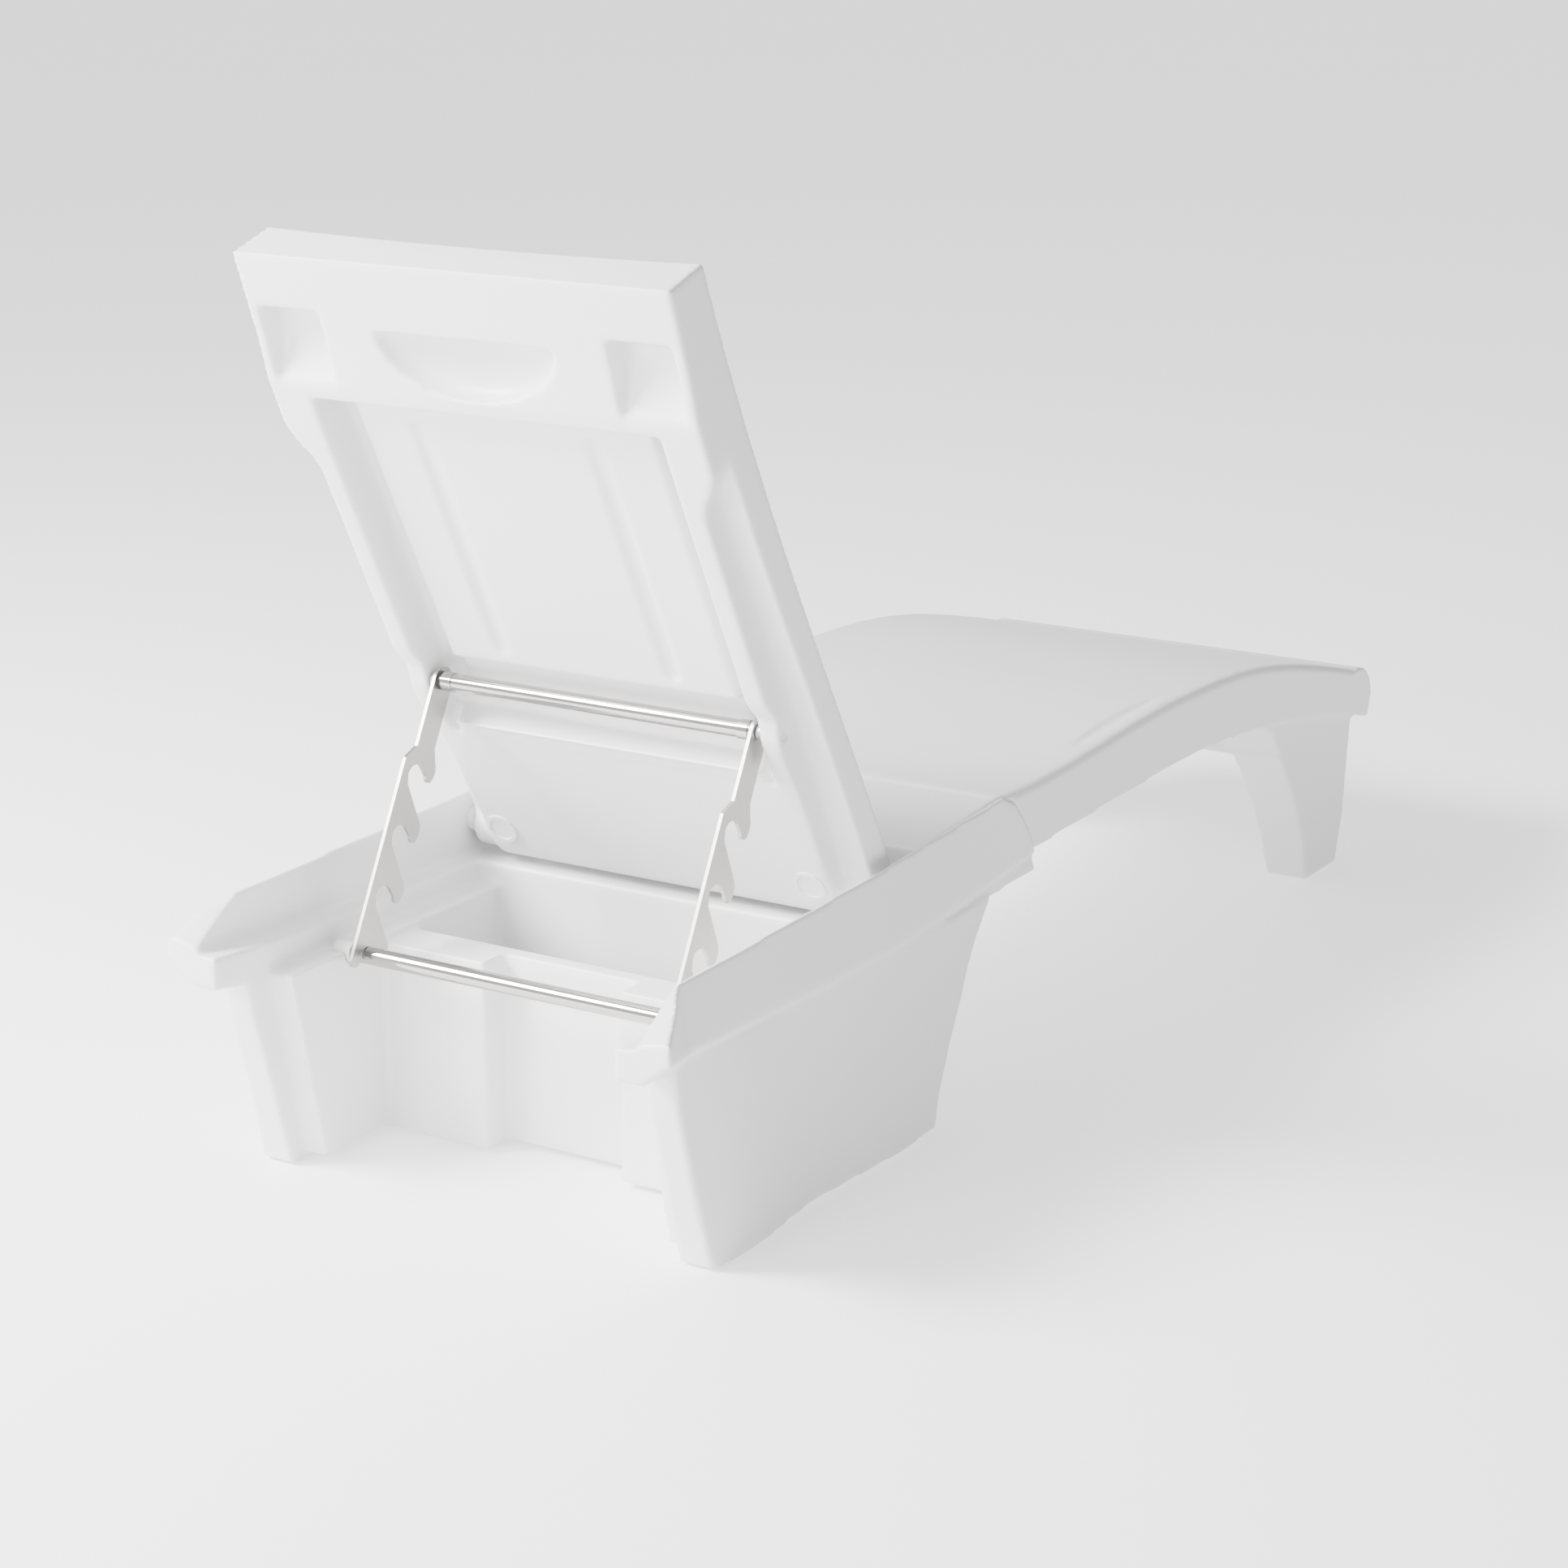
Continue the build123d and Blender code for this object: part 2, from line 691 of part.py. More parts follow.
    # bores for the hinge pins and the prop's pivot pins, seats for the two round covers
    for side in (1, -1):
        bore_end = side * (deck_half + 1)
        round_bar(pivot[0], pivot_z, side * pin_start, bore_end, hinge_pin_radius, Mode.SUBTRACT)
        bore_start = side * (recess_half - 1)
        bore_end = side * (body_half + 1)
        round_bar(tube_x, tube_z, bore_start, bore_end, prop_pin_radius, Mode.SUBTRACT)
        with BuildSketch(behind_plane(cover_seat, cover_along, side * arm_y)) as cover_place:
            Circle(cover_radius + 0.5)
        extrude(cover_place.sketch, amount=30, mode=Mode.SUBTRACT)
backrest_panel.part.label = "backrest_panel"
export_step(backrest_panel.part, "parts/backrest_panel.step")


# ---- prop: steel tube with two hooked arms -------------------------------------------------
arm_inner = arm_y - arm_thickness / 2
arm_outer = arm_y + arm_thickness / 2
ring_width = 3.0
collar_length = 13.0
tube_half = arm_inner - ring_width
bush_length = 14.0
names = {1: "left", -1: "right"}


with BuildPart() as prop_tube:
    round_bar(tube_x, tube_z, -tube_half, tube_half, tube_radius)
    round_bar(tube_x, tube_z, -tube_half, tube_half, tube_radius - tube_wall, Mode.SUBTRACT)
prop_tube.part.label = "prop_tube"
export_step(prop_tube.part, "parts/prop_tube.step")


def arm_sketch(plane):
    """Hooked bar in its own frame: x runs down the arm, y towards the hooks."""
    shank_back, shank_front = -13.5, 19.5
    bar_back, bar_front = -28.5, -16.5
    eye = (shank_front + shank_back) / 2
    last = first_hook + (hook_count - 1) * hook_pitch
    with BuildSketch(plane) as arm:
        with BuildLine():
            here = (first_hook - 24, shank_front)
            Line((0, shank_front), here)
            for k in range(hook_count):
                top = first_hook + k * hook_pitch
                root, tip, mouth = (top - 10, 27), (top + 14, 27), (top + 9, 17)
                Line(here, root)
                ThreePointArc(root, (top + 3, 31.5), tip)
                ThreePointArc(tip, (top + 14.5, 22), mouth)
                Line(mouth, (top + 3, 7.5))
                ThreePointArc((top + 3, 7.5), (top + 2.5, -10), (top + 14, bar_front))
                here = (top + 14, bar_front)
                if k < hook_count - 1:
                    Line(here, (top + 25, bar_front + 4))
                    here = (top + 25, bar_front + 4)
            end = ThreePointArc(
                here,
                (last + 28, (bar_back + bar_front) / 2),
                (last + 22, bar_back),
            )
            Line(end @ 1, (97, bar_back))
            Line((97, bar_back), (80, shank_back))
            Line((80, shank_back), (0, shank_back))
            ThreePointArc((0, shank_back), (-(shank_front - shank_back) / 2, eye), (0, shank_front))
        make_face()
        Circle(prop_pin_radius + running_clearance, mode=Mode.SUBTRACT)
    return arm.sketch


for side, name in names.items():
    arm_plane = Plane(origin=(tube_x, side * arm_y, tube_z), x_dir=arm_down, z_dir=(0, -1, 0))
    with BuildPart() as prop_arm:
        extrude(arm_sketch(arm_plane), amount=arm_thickness / 2, both=True)
    prop_arm.part.label = f"prop_arm_{name}"
    export_step(prop_arm.part, f"parts/prop_arm_{name}.step")

    with BuildPart() as prop_ring:
        round_bar(tube_x, tube_z, side * tube_half, side * arm_inner, tube_radius + 0.5)
        round_bar(tube_x, tube_z, side * tube_half, side * arm_inner, prop_pin_radius + 0.4, Mode.SUBTRACT)
    prop_ring.part.label = f"prop_ring_{name}"
    export_step(prop_ring.part, f"parts/prop_ring_{name}.step")

    collar_end = side * (tube_half - 2)
    with BuildPart() as prop_collar:
        round_bar(tube_x, tube_z, collar_end, collar_end - side * collar_length, tube_radius + 1.2)
        round_bar(tube_x, tube_z, collar_end, collar_end - side * collar_length, tube_radius, Mode.SUBTRACT)
    prop_collar.part.label = f"prop_collar_{name}"
    export_step(prop_collar.part, f"parts/prop_collar_{name}.step")

    bush_end = side * (tube_half - bush_length)
    with BuildPart() as prop_bush:
        round_bar(tube_x, tube_z, side * tube_half, bush_end, tube_radius - tube_wall)
        round_bar(
            tube_x, tube_z, side * tube_half, bush_end, prop_pin_radius + running_clearance, Mode.SUBTRACT
        )
    prop_bush.part.label = f"prop_bush_{name}"
    export_step(prop_bush.part, f"parts/prop_bush_{name}.step")

    # pivot pin: fixed in the backrest's side, a running fit in the bush and the arm's eye
    with BuildPart() as prop_pin:
        pin_inside = side * (tube_half - bush_length + 2)
        round_bar(tube_x, tube_z, pin_inside, side * (body_half - 3), prop_pin_radius)
        round_bar(tube_x, tube_z, side * (arm_outer + 1), side * (recess_half - 1), prop_pin_radius + 3.5)
    prop_pin.part.label = f"prop_pin_{name}"
    export_step(prop_pin.part, f"parts/prop_pin_{name}.step")

    # hinge pin and its bush in the rail
    pin_inside = side * (pin_start + 1)
    pin_end = side * (rail_inner + hinge_bush_depth - 1)
    with BuildPart() as hinge_pin:
        round_bar(pivot[0], pivot_z, pin_inside, pin_end, hinge_pin_radius)
    hinge_pin.part.label = f"hinge_pin_{name}"
    export_step(hinge_pin.part, f"parts/hinge_pin_{name}.step")

    flange_face = side * (deck_half + 2)
    bush_outer = hinge_pin_radius + hinge_bush_wall
    with BuildPart() as hinge_bush:
        round_bar(pivot[0], pivot_z, side * rail_inner, side * (rail_inner + hinge_bush_depth), bush_outer)
        round_bar(pivot[0], pivot_z, flange_face, side * rail_inner, bush_outer + 6)
        round_bar(
            pivot[0],
            pivot_z,
            flange_face,
            side * (rail_inner + hinge_bush_depth),
            hinge_pin_radius + running_clearance,
            Mode.SUBTRACT,
        )
    hinge_bush.part.label = f"hinge_bush_{name}"
    export_step(hinge_bush.part, f"parts/hinge_bush_{name}.step")

    # socket that carries the end of the catch rod in the pillar
    socket_end = side * (pillar_inner + rod_engagement)
    socket_face = side * (pillar_inner - socket_stand)
    with BuildPart() as rod_socket:
        round_bar(rod_x, rod_z, socket_face, socket_end, rod_radius + socket_wall)
        round_bar(rod_x, rod_z, socket_face, socket_end, rod_radius, Mode.SUBTRACT)
    rod_socket.part.label = f"rod_socket_{name}"
    export_step(rod_socket.part, f"parts/rod_socket_{name}.step")

    # round cover over the bore of the hinge pin, on the lower panel
    with BuildPart() as hinge_cover:
        with BuildSketch(behind_plane(cover_seat, cover_along, side * arm_y)):
            Circle(cover_radius)
        extrude(amount=2.5)
        with BuildSketch(behind_plane(cover_seat + 2.5, cover_along, side * arm_y)):
            Circle(cover_radius)
            Circle(cover_radius - 4.5, mode=Mode.SUBTRACT)
        extrude(amount=1.5)
    hinge_cover.part.label = f"hinge_cover_{name}"
    export_step(hinge_cover.part, f"parts/hinge_cover_{name}.step")

with BuildPart() as catch_rod:
    rod_half = pillar_inner + rod_engagement - 1
    round_bar(rod_x, rod_z, -rod_half, rod_half, rod_radius)
    round_bar(rod_x, rod_z, -rod_half, rod_half, rod_radius - tube_wall, Mode.SUBTRACT)
catch_rod.part.label = "catch_rod"
export_step(catch_rod.part, "parts/catch_rod.step")

# ---- fasteners and glides ------------------------------------------------------------------
bolt_places = [(at(s), y) for s in bolt_stations for y in bolt_y]
deck_low = deck_top - deck_thickness
washer_thickness = 2.0
head_height = 6.0
insert_depth = 18.0

with BuildPart() as seat_bolts:
    with BuildSketch(Plane.XY.offset(deck_low - washer_thickness - head_height)):
        with Locations(*bolt_places):
            RegularPolygon(bolt_radius + 3, 6)
    extrude(amount=head_height)
    with BuildSketch(Plane.XY.offset(deck_low - washer_thickness)):
        with Locations(*bolt_places):
            Circle(bolt_radius)
    extrude(amount=washer_thickness + deck_thickness + insert_depth - 2)
seat_bolts.part.label = "seat_bolts"
export_step(seat_bolts.part, "parts/seat_bolts.step")

with BuildPart() as seat_washers:
    with BuildSketch(Plane.XY.offset(deck_low - washer_thickness)):
        with Locations(*bolt_places):
            Circle(bolt_radius + 6)
            Circle(bolt_radius + 0.2, mode=Mode.SUBTRACT)
    extrude(amount=washer_thickness)
seat_washers.part.label = "seat_washers"
export_step(seat_washers.part, "parts/seat_washers.step")

with BuildPart() as seat_inserts:
    with BuildSketch(Plane.XY.offset(deck_top)):
        with Locations(*bolt_places):
            Circle(bolt_radius + 2.5)
            Circle(bolt_radius, mode=Mode.SUBTRACT)
    extrude(amount=insert_depth)
seat_inserts.part.label = "seat_inserts"
export_step(seat_inserts.part, "parts/seat_inserts.step")

with BuildPart() as foot_glides:
    with BuildSketch():
        with Locations(*[(x, side * y) for x, y in glide_places for side in (1, -1)]):
            Circle(glide_radius)
    extrude(amount=glide_height)
foot_glides.part.label = "foot_glides"
export_step(foot_glides.part, "parts/foot_glides.step")
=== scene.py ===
import json
from math import radians

import bmesh
import bpy
import numpy as np
from mathutils import Euler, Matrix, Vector


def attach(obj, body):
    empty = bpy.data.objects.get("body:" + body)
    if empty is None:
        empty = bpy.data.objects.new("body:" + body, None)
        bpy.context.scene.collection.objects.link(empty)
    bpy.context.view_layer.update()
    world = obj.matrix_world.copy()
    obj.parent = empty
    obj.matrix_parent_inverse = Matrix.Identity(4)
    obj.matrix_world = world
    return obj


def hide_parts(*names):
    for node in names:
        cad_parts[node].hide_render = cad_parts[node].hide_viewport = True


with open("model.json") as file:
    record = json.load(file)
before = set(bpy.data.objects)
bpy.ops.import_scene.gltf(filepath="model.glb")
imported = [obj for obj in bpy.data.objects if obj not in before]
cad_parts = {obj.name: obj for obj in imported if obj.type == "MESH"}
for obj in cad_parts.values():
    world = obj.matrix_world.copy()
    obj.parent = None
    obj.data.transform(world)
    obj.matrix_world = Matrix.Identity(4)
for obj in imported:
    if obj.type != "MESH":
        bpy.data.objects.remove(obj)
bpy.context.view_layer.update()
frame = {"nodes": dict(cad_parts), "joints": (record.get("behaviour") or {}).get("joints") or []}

bl_info = {
    "name": "Reclining sun lounger",
    "version": (1, 0, 0),
    "blender": (4, 5, 0),
    "location": "View3D > Sidebar > Lounger",
    "description": "Finishes the mouldings, steelwork and setting of a reclining sun lounger",
    "category": "Object",
}

# ---- places read from the frame --------------------------------------------------------------
JOINTS = {joint["name"]: joint for joint in frame["joints"]}
HINGE = Vector(JOINTS["backrest_recline"]["pos_m"])
RECLINE = radians(62.5)  # the raised backrest, from level
UP_BACK = Vector((-np.cos(RECLINE), 0, np.sin(RECLINE)))
BEHIND = Vector((-np.sin(RECLINE), 0, -np.cos(RECLINE)))
MERGE = 0.00002  # corners of a node's loose triangles closer than this are one
MOST_TRIANGLES = 190000  # in one moulding
BRIGHT_SIDE = Vector((-0.55, 0.55, 0.63)).normalized()  # where most of the surrounding light comes from


# ---- sizes and colours a user may change -----------------------------------------------------
class LoungerMouldings(bpy.types.PropertyGroup):
    """How the three hollow mouldings are finished."""

    grid: bpy.props.FloatProperty(
        name="Skin grid",
        description="Edge length of the faces that make up a moulding's skin",
        default=0.0038,
        min=0.003,
        max=0.01,
        unit="LENGTH",
    )
    softness: bpy.props.IntProperty(
        name="Softness",
        description="Rounds of smoothing that ease a moulding's edges",
        default=4,
        min=0,
        max=40,
    )
    dish: bpy.props.FloatProperty(
        name="Backrest dish",
        description="How far the middle of the sitting face stands behind its sides",
        default=0.006,
        min=0.0,
        max=0.02,
        unit="LENGTH",
    )
    colour: bpy.props.FloatVectorProperty(
        name="Plastic colour",
        description="Colour of the moulded plastic",
        default=(0.80, 0.80, 0.805),
        min=0.0,
        max=1.0,
        subtype="COLOR",
    )
    gloss: bpy.props.FloatProperty(
        name="Plastic roughness",
        description="Mean roughness of the moulded plastic",
        default=0.36,
        min=0.05,
        max=1.0,
        subtype="FACTOR",
    )


class LoungerSteel(bpy.types.PropertyGroup):
    """How the prop, rod and pins are finished."""

    colour: bpy.props.FloatVectorProperty(
        name="Steel colour",
        description="Colour of the polished stainless steel",
        default=(0.50, 0.485, 0.47),
        min=0.0,
        max=1.0,
        subtype="COLOR",
    )
    tube_gloss: bpy.props.FloatProperty(
        name="Tube roughness",
        description="Roughness of the polished tube and rod",
        default=0.09,
        min=0.02,
        max=1.0,
        subtype="FACTOR",
    )
    plate_gloss: bpy.props.FloatProperty(
        name="Plate roughness",
        description="Roughness of the hooked bars",
        default=0.34,
        min=0.02,
        max=1.0,
        subtype="FACTOR",
    )


class LoungerStage(bpy.types.PropertyGroup):
    """Floor, light and camera."""

    key_power: bpy.props.FloatProperty(
        name="Key light",
        description="Power of the large light above the left of the backrest",
        default=620.0,
        min=0.0,
        unit="POWER",
    )
    rear_power: bpy.props.FloatProperty(
        name="Rear light",
        description="Power of the light that faces the back of the lounger",
        default=110.0,
        min=0.0,
        unit="POWER",
    )
    fill: bpy.props.FloatProperty(
        name="Surrounding light",
        description="Strength of the even light from all round",
        default=1.5,
        min=0.0,
    )
    shade: bpy.props.FloatProperty(
        name="Shaded side",
        description="Share of the surrounding light that comes from the side away from the key",
        default=0.14,
        min=0.0,
        max=1.0,
        subtype="FACTOR",
    )
    floor_glow: bpy.props.FloatProperty(
        name="Floor glow",
        description="Light that the floor gives off by itself",
        default=0.8,
        min=0.0,
    )
    focal_length: bpy.props.FloatProperty(
        name="Lens",
        description="Focal length of the camera",
        default=82.0,
        min=10.0,
        subtype="DISTANCE_CAMERA",
    )


# ---- materials -------------------------------------------------------------------------------
class Value:
    """A shader socket that reads as a number in an expression and adds its own Math nodes."""

    def __init__(self, shader, socket):
        self.shader = shader
        self.socket = socket

    def math(self, operation, *others):
        return self.shader.node("ShaderNodeMath", {"operation": operation}, self, *others)

    def __add__(self, other):
        return self.math("ADD", other)

    def __sub__(self, other):
        return self.math("SUBTRACT", other)

    def __rsub__(self, other):
        return self.shader.node("ShaderNodeMath", {"operation": "SUBTRACT"}, other, self)

    def __mul__(self, other):
        return self.math("MULTIPLY", other)

    __radd__ = __add__
    __rmul__ = __mul__

    def clamp(self):
        return self.shader.node("ShaderNodeMath", {"operation": "ADD", "use_clamp": True}, self, 0.0)


class Shader:
    """A material under construction: adds nodes and joins them up."""

    def __init__(self, name):
        self.material = bpy.data.materials.new(name)
        self.material.use_nodes = True
        self.tree = self.material.node_tree
        self.principled = self.tree.nodes["Principled BSDF"]

    def node(self, kind, settings=None, *values, output=0, **named):
        """Adds a node of a kind; its settings come first, then its sockets in order or by name."""
        made = self.tree.nodes.new(kind)
        for key, value in (settings or {}).items():
            if key == "stops":
                ramp = made.color_ramp
                while len(ramp.elements) < len(value):
                    ramp.elements.new(0.5)
                for element, (place, colour) in zip(ramp.elements, value):
                    element.position = place
                    element.color = colour
            else:
                setattr(made, key, value)
        for place, value in enumerate(values):
            self.join(made.inputs[place], value)
        for key, value in named.items():
            self.join(made.inputs[key.replace("_", " ")], value)
        return Value(self, made.outputs[output])

    def join(self, socket, value):
        if isinstance(value, Value):
            self.tree.links.new(value.socket, socket)
        else:
            socket.default_value = value

    def place(self, stretch=(1, 1, 1)):
        """Object coordinates, stretched along each axis."""
        where = self.node("ShaderNodeTexCoord", output=3)
        return self.node("ShaderNodeMapping", None, Vector=where, Scale=stretch)

    def noise(self, where, scale, detail=2.0, roughness=0.5):
        return self.node(
            "ShaderNodeTexNoise",
            {"noise_dimensions": "3D"},
            Vector=where,
            Scale=scale,
            Detail=detail,
            Roughness=roughness,
        )

    def step(self, value, low, high):
        """0 below low and 1 above high, with a smooth rise between."""
        return self.node(
            "ShaderNodeMapRange",
            {"interpolation_type": "SMOOTHSTEP"},
            Value=value,
            From_Min=low,
            From_Max=high,
            To_Min=0.0,
            To_Max=1.0,
        )

    def mix(self, factor, first, second):
        """A colour between two colours."""
        made = self.tree.nodes.new("ShaderNodeMix")
        made.data_type = "RGBA"
        for socket, value in ((made.inputs[0], factor), (made.inputs[6], first), (made.inputs[7], second)):
            self.join(socket, value)
        return Value(self, made.outputs[2])

    def bump(self, height, strength, distance, under=None):
        named = {"Height": height, "Strength": strength, "Distance": distance}
        if under is not None:
            named["Normal"] = under
        return self.node("ShaderNodeBump", None, **named)

    def finish(self, **sockets):
        for key, value in sockets.items():
            self.join(self.principled.inputs[key.replace("_", " ")], value)
        return self.material


def grey(value, tint=(1.0, 1.0, 1.0)):
    return (*(value * part for part in tint), 1.0)


def moulded_plastic(name, colour, roughness):
    """White moulded polyethylene: a soft sheen, a fine skin, and slow waves in thick places."""
    shader = Shader(name)
    where = shader.place()
    cloud = shader.noise(where, 5.0, 2.0)
    grain = shader.noise(where, 700.0, 2.0, 0.6)
    skin = shader.noise(where, 160.0, 2.0)
    waves = shader.noise(where, 9.0, 1.0)
    scuffs = shader.noise(shader.place((14.0, 60.0, 60.0)), 6.0, 5.0, 0.62)
    scuffed = shader.step(scuffs, 0.66, 0.74)
    base = shader.mix(cloud, (*colour, 1.0), (colour[0] * 0.985, colour[1] * 0.985, colour[2] * 0.975, 1.0))
    base = shader.mix(scuffed * 0.06, base, grey(0.70))
    rough = roughness + (cloud - 0.5) * 0.10 + (grain - 0.5) * 0.08 + scuffed * 0.08
    slow = shader.bump(waves, 0.12, 0.004)
    texture = shader.bump(skin, 0.05, 0.0008, slow)
    fine = shader.bump(grain, 0.07, 0.0003, texture)
    return shader.finish(Base_Color=base, Roughness=rough.clamp(), Normal=fine, IOR=1.5)


def polished_steel(name, colour, roughness, stretch, streak):
    """Bright stainless steel with fine lines along the direction in which it was polished."""
    shader = Shader(name)
    lines = shader.noise(shader.place(stretch), 60.0, 4.0, 0.6)
    smear = shader.noise(shader.place(), 14.0, 2.0)
    pits = shader.step(shader.noise(shader.place(), 900.0, 1.0), 0.70, 0.80)
    worn = tuple(0.85 * part for part in colour)
    base = shader.mix(lines * 0.5, (*colour, 1.0), (*worn, 1.0))
    rough = roughness + (lines - 0.5) * streak + (smear - 0.5) * 0.06 + pits * 0.08
    surface = shader.bump(lines, 0.03, 0.0002)
    return shader.finish(Base_Color=base, Metallic=1.0, Roughness=rough.clamp(), Normal=surface)


def plain_plastic(name, colour, roughness):
    """Turned or moulded small plastic: bushes, sockets and rings."""
    shader = Shader(name)
    grain = shader.noise(shader.place(), 600.0, 3.0)
    dust = shader.step(shader.noise(shader.place(), 40.0, 4.0, 0.65), 0.5, 0.75)
    base = shader.mix(dust * 0.25, (*colour, 1.0), (*(0.8 * c + 0.06 for c in colour), 1.0))
    rough = roughness + (grain - 0.5) * 0.15
    return shader.finish(
        Base_Color=base,
        Roughness=rough.clamp(),
        Normal=shader.bump(grain, 0.1, 0.0003),
    )


def turned_brass(name):
    shader = Shader(name)
    rings = shader.noise(shader.place((1, 1, 30)), 40.0, 3.0)
    base = shader.mix(rings, (0.78, 0.58, 0.28, 1.0), (0.62, 0.45, 0.20, 1.0))
    return shader.finish(
        Base_Color=base,
        Metallic=1.0,
        Roughness=(0.25 + rings * 0.15).clamp(),
        Normal=shader.bump(rings, 0.1, 0.0002),
    )


def foot_rubber(name):
    shader = Shader(name)
    grain = shader.noise(shader.place(), 400.0, 4.0, 0.6)
    dirt = shader.step(shader.noise(shader.place(), 60.0, 4.0), 0.45, 0.7)
    base = shader.mix(dirt * 0.5, grey(0.62), grey(0.42, (1.0, 0.97, 0.92)))
    return shader.finish(
        Base_Color=base,
        Roughness=(0.7 + grain * 0.15).clamp(),
        Normal=shader.bump(grain, 0.3, 0.0004),
    )


def paint(node, material):
    """Gives a CAD node its finish."""
    obj = frame["nodes"][node]
    slots = obj.material_slots
    if not slots:
        raise RuntimeError(f"{node} has no material slot")
    for slot in slots:
        slot.link = "OBJECT"
        slot.material = material


# ---- mouldings -------------------------------------------------------------------------------
def outer_skin(node):
    """A merged copy of a CAD node's outside, without the hollows sealed inside it."""
    copy = bmesh.new()
    copy.from_mesh(frame["nodes"][node].data)
    bmesh.ops.remove_doubles(copy, verts=copy.verts, dist=MERGE)
    left = set(copy.verts)
    shells = []
    while left:
        start = left.pop()
        shell = {start}
        edge = [start]
        while edge:
            vert = edge.pop()
            for line in vert.link_edges:
                other = line.other_vert(vert)
                if other in left:
                    left.remove(other)
                    shell.add(other)
                    edge.append(other)
        shells.append(shell)

    def spread(shell):
        places = np.array([vert.co for vert in shell])
        return float(np.prod(places.max(0) - places.min(0)))

    shells.sort(key=spread)
    inner = [vert for shell in shells[:-1] for vert in shell]
    bmesh.ops.delete(copy, geom=inner, context="VERTS")
    mesh = bpy.data.meshes.new(node + "_skin")
    copy.to_mesh(mesh)
    copy.free()
    return mesh


def apply_modifiers(piece):
    """Replaces a piece's mesh with what its modifiers make of it."""
    depsgraph = bpy.context.evaluated_depsgraph_get()
    made = bpy.data.meshes.new_from_object(piece.evaluated_get(depsgraph))
    piece.modifiers.clear()
    old = piece.data
    piece.data = made
    bpy.data.meshes.remove(old)


def moulding(node, name, body, material, settings, shape=None):
    """A hollow moulding as it comes out of its tool: every edge eased, no face quite flat."""
    piece = bpy.data.objects.new(name, outer_skin(node))
    bpy.context.scene.collection.objects.link(piece)
    remesh = piece.modifiers.new("grid", "REMESH")
    remesh.mode = "VOXEL"
    remesh.voxel_size = settings.grid * 1.0
    remesh.use_smooth_shade = True
    ease = piece.modifiers.new("ease", "SMOOTH")
    ease.factor = 0.5
    ease.iterations = settings.softness
    apply_modifiers(piece)
    if shape:
        places = np.empty(len(piece.data.vertices) * 3)
        piece.data.vertices.foreach_get("co", places)
        places = shape(places.reshape(-1, 3), settings)
        piece.data.vertices.foreach_set("co", places.ravel())
    triangles = 2 * len(piece.data.polygons)
    if triangles > MOST_TRIANGLES:
        thin = piece.modifiers.new("thin", "DECIMATE")
        thin.ratio = MOST_TRIANGLES / triangles
        apply_modifiers(piece)
    piece.data.polygons.foreach_set("use_smooth", [True] * len(piece.data.polygons))
    piece.data.materials.clear()
    piece.data.materials.append(material)
    piece.data.update()
    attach(piece, body)
    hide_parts(node)
    return piece


def dish_backrest(places, settings):
    """The sitting face is hollowed slightly from side to side."""
    from_hinge = places - np.array(HINGE)
    depth = from_hinge @ np.array(BEHIND)
    along = from_hinge @ np.array(UP_BACK)
    half = np.abs(places[:, 1]).max()
    across = np.clip(1 - (places[:, 1] / (half * 0.97)) ** 2, 0, 1)
    near_face = np.clip(1 - (depth + 0.03) / 0.03, 0, 1)
    fade = np.clip(along / 0.15, 0, 1)
    return places + np.outer(settings.dish * across * near_face * fade, np.array(BEHIND))


class LOUNGER_OT_base(bpy.types.Operator):
    """Finishes the base moulding with its storage bin"""

    bl_idname = "lounger.base"
    bl_label = "Base moulding"

    def execute(self, context):
        settings = context.scene.lounger_mouldings
        plastic = moulded_plastic("white moulded plastic", settings.colour, settings.gloss)
        moulding("base_tub", "base_moulding", "base", plastic, settings)
        return {"FINISHED"}


class LOUNGER_OT_seat(bpy.types.Operator):
    """Finishes the seat moulding with its two front legs"""

    bl_idname = "lounger.seat"
    bl_label = "Seat moulding"

    def execute(self, context):
        settings = context.scene.lounger_mouldings
        plastic = bpy.data.materials["white moulded plastic"]
        moulding("seat_section", "seat_moulding", "base", plastic, settings)
        return {"FINISHED"}


class LOUNGER_OT_backrest(bpy.types.Operator):
    """Finishes the hinged backrest moulding and its two hinge covers"""

    bl_idname = "lounger.backrest"
    bl_label = "Backrest"

    def execute(self, context):
        settings = context.scene.lounger_mouldings
        plastic = bpy.data.materials["white moulded plastic"]
        moulding("backrest_panel", "backrest_moulding", "backrest", plastic, settings, dish_backrest)
        for side in ("left", "right"):
            paint(f"hinge_cover_{side}", plastic)
        return {"FINISHED"}


# ---- steelwork -------------------------------------------------------------------------------
class LOUNGER_OT_steelwork(bpy.types.Operator):
    """Finishes the prop tube, hooked bars, catch rod, pins and bolts"""

    bl_idname = "lounger.steelwork"
    bl_label = "Steelwork"

    def execute(self, context):
        settings = context.scene.lounger_steel
        across = (1.0, 0.02, 1.0)
        tube = polished_steel("polished tube", settings.colour, settings.tube_gloss, across, 0.05)
        along = (3.0, 0.1, 0.2)
        plate = polished_steel("polished plate", settings.colour, settings.plate_gloss, along, 0.12)
        plain = polished_steel("satin steel", (0.62, 0.62, 0.63), 0.3, (1, 1, 1), 0.1)
        paint("prop_tube", tube)
        paint("catch_rod", tube)
        for side in ("left", "right"):
            paint(f"prop_arm_{side}", plate)
            paint(f"prop_collar_{side}", tube)
            paint(f"prop_pin_{side}", plain)
            paint(f"hinge_pin_{side}", plain)
        paint("seat_bolts", plain)
        paint("seat_washers", plain)
        return {"FINISHED"}


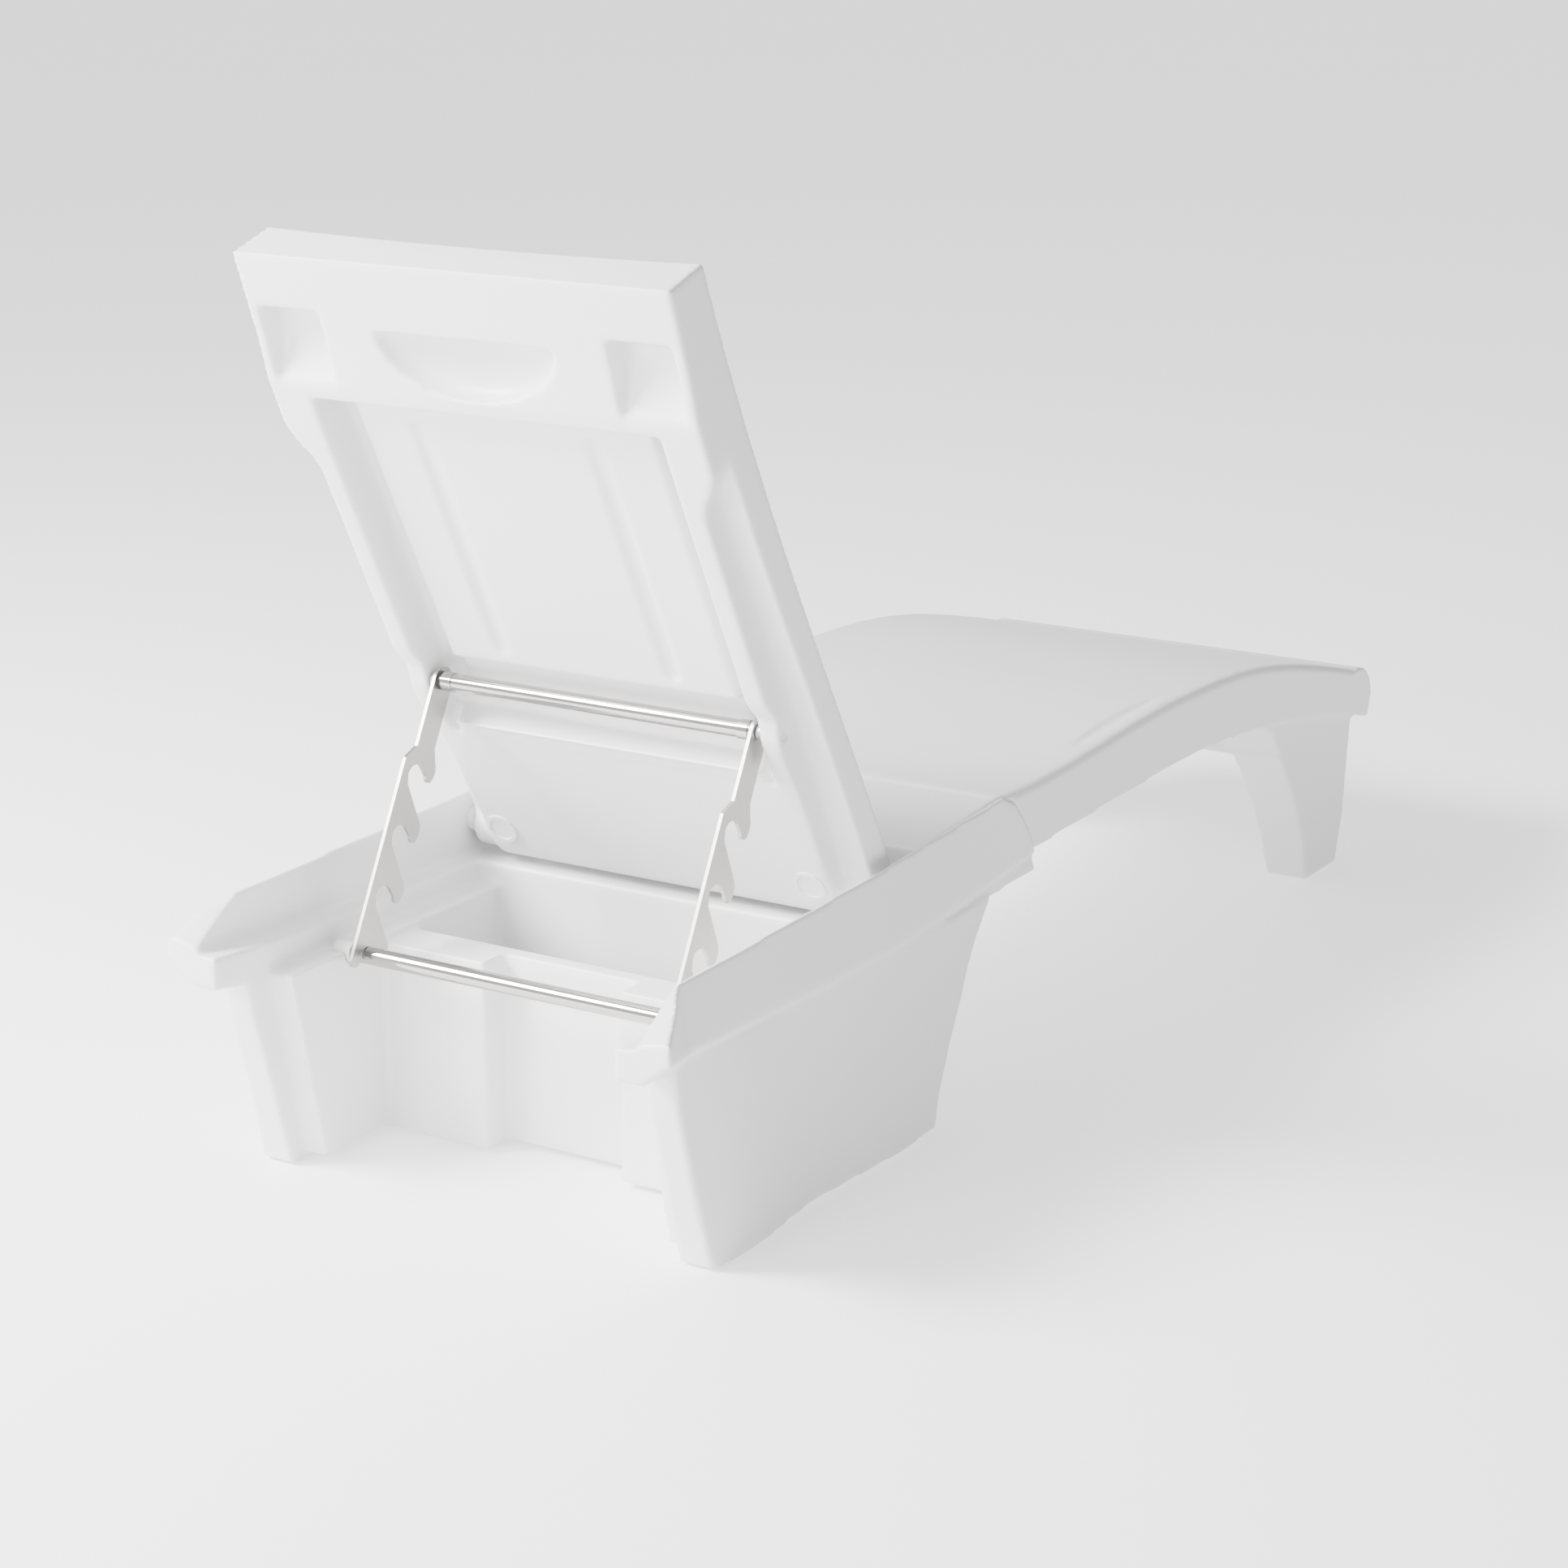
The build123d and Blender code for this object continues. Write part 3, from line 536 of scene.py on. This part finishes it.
class LOUNGER_OT_small_parts(bpy.types.Operator):
    """Finishes the bushes, sockets, rings, inserts and foot glides"""

    bl_idname = "lounger.small_parts"
    bl_label = "Small parts"

    def execute(self, context):
        bearing = plain_plastic("bearing plastic", (0.74, 0.74, 0.73), 0.4)
        ring = plain_plastic("dark ring", (0.025, 0.024, 0.023), 0.35)
        for side in ("left", "right"):
            paint(f"hinge_bush_{side}", bearing)
            paint(f"rod_socket_{side}", bearing)
            paint(f"prop_bush_{side}", bearing)
            paint(f"prop_ring_{side}", ring)
        paint("seat_inserts", turned_brass("turned brass"))
        paint("foot_glides", foot_rubber("foot rubber"))
        return {"FINISHED"}


# ---- stage -----------------------------------------------------------------------------------
def area_light(name, place, target, size, power, colour=(1.0, 1.0, 1.0)):
    """A soft rectangular light turned towards a point."""
    lamp = bpy.data.lights.new(name, "AREA")
    lamp.shape = "RECTANGLE"
    lamp.size, lamp.size_y = size
    lamp.energy = power
    lamp.color = colour
    obj = bpy.data.objects.new(name, lamp)
    obj.location = place
    obj.rotation_euler = (Vector(target) - Vector(place)).to_track_quat("-Z", "Y").to_euler()
    bpy.context.scene.collection.objects.link(obj)


class LOUNGER_OT_stage(bpy.types.Operator):
    """Sets up the floor, the light and the camera"""

    bl_idname = "lounger.stage"
    bl_label = "Stage"

    def execute(self, context):
        settings = context.scene.lounger_stage
        floor = bpy.data.meshes.new("floor")
        reach = 30.0
        floor.from_pydata(
            [(-reach, -reach, 0), (reach, -reach, 0), (reach, reach, 0), (-reach, reach, 0)],
            [],
            [(0, 1, 2, 3)],
        )
        ground = bpy.data.objects.new("floor", floor)
        bpy.context.scene.collection.objects.link(ground)
        shader = Shader("pale floor")
        cloud = shader.noise(shader.place(), 0.6)
        pale = shader.mix(cloud, grey(0.88), grey(0.90))
        glow = {"Emission_Color": grey(1.0), "Emission_Strength": settings.floor_glow}
        floor.materials.append(shader.finish(Base_Color=pale, Roughness=0.9, **glow))

        world = bpy.data.worlds.new("studio")
        context.scene.world = world
        world.use_nodes = True
        tree = world.node_tree
        where = tree.nodes.new("ShaderNodeTexCoord")
        facing = tree.nodes.new("ShaderNodeVectorMath")
        facing.operation = "DOT_PRODUCT"
        facing.inputs[1].default_value = BRIGHT_SIDE
        tree.links.new(where.outputs["Generated"], facing.inputs[0])
        wash = tree.nodes.new("ShaderNodeMapRange")
        wash.inputs["From Min"].default_value = -0.6
        wash.inputs["To Min"].default_value = settings.fill * settings.shade
        wash.inputs["To Max"].default_value = settings.fill
        tree.links.new(facing.outputs["Value"], wash.inputs["Value"])
        background = tree.nodes["Background"]
        background.inputs["Color"].default_value = (1.0, 1.0, 1.0, 1.0)
        tree.links.new(wash.outputs["Result"], background.inputs["Strength"])

        middle = (0.0, 0.0, 0.4)
        area_light("key", (-2.6, 2.4, 2.9), middle, (1.6, 1.6), settings.key_power)
        area_light("rear", (-4.2, 0.6, 1.5), middle, (1.8, 1.2), settings.rear_power)

        lens = bpy.data.cameras.new("view")
        lens.lens = settings.focal_length
        lens.sensor_width = 36.0
        view = bpy.data.objects.new("view", lens)
        view.location = (-3.6884, -2.1516, 1.5123)
        view.rotation_euler = Euler((radians(73.911), 0.0, radians(-58.400)))
        context.scene.collection.objects.link(view)
        context.scene.camera = view
        return {"FINISHED"}


class LOUNGER_PT_panel(bpy.types.Panel):
    """The lounger's pieces and their settings"""

    bl_label = "Sun lounger"
    bl_idname = "LOUNGER_PT_panel"
    bl_space_type = "VIEW_3D"
    bl_region_type = "UI"
    bl_category = "Lounger"

    def draw(self, context):
        scene = context.scene
        for settings in (scene.lounger_mouldings, scene.lounger_steel, scene.lounger_stage):
            box = self.layout.box()
            for key in settings.__annotations__:
                box.prop(settings, key)
        for operator in OPERATORS:
            self.layout.operator(operator.bl_idname)


GROUPS = {
    "lounger_mouldings": LoungerMouldings,
    "lounger_steel": LoungerSteel,
    "lounger_stage": LoungerStage,
}
OPERATORS = (
    LOUNGER_OT_base,
    LOUNGER_OT_seat,
    LOUNGER_OT_backrest,
    LOUNGER_OT_steelwork,
    LOUNGER_OT_small_parts,
    LOUNGER_OT_stage,
)


def register():
    for item in (*GROUPS.values(), *OPERATORS, LOUNGER_PT_panel):
        bpy.utils.register_class(item)
    for name, group in GROUPS.items():
        setattr(bpy.types.Scene, name, bpy.props.PointerProperty(type=group))


def unregister():
    for name in GROUPS:
        delattr(bpy.types.Scene, name)
    for item in reversed((*GROUPS.values(), *OPERATORS, LOUNGER_PT_panel)):
        bpy.utils.unregister_class(item)


def main():
    register()
    bpy.ops.lounger.base()
    bpy.ops.lounger.seat()
    bpy.ops.lounger.backrest()
    bpy.ops.lounger.steelwork()
    bpy.ops.lounger.small_parts()
    bpy.ops.lounger.stage()


if __name__ == "__main__":
    main()
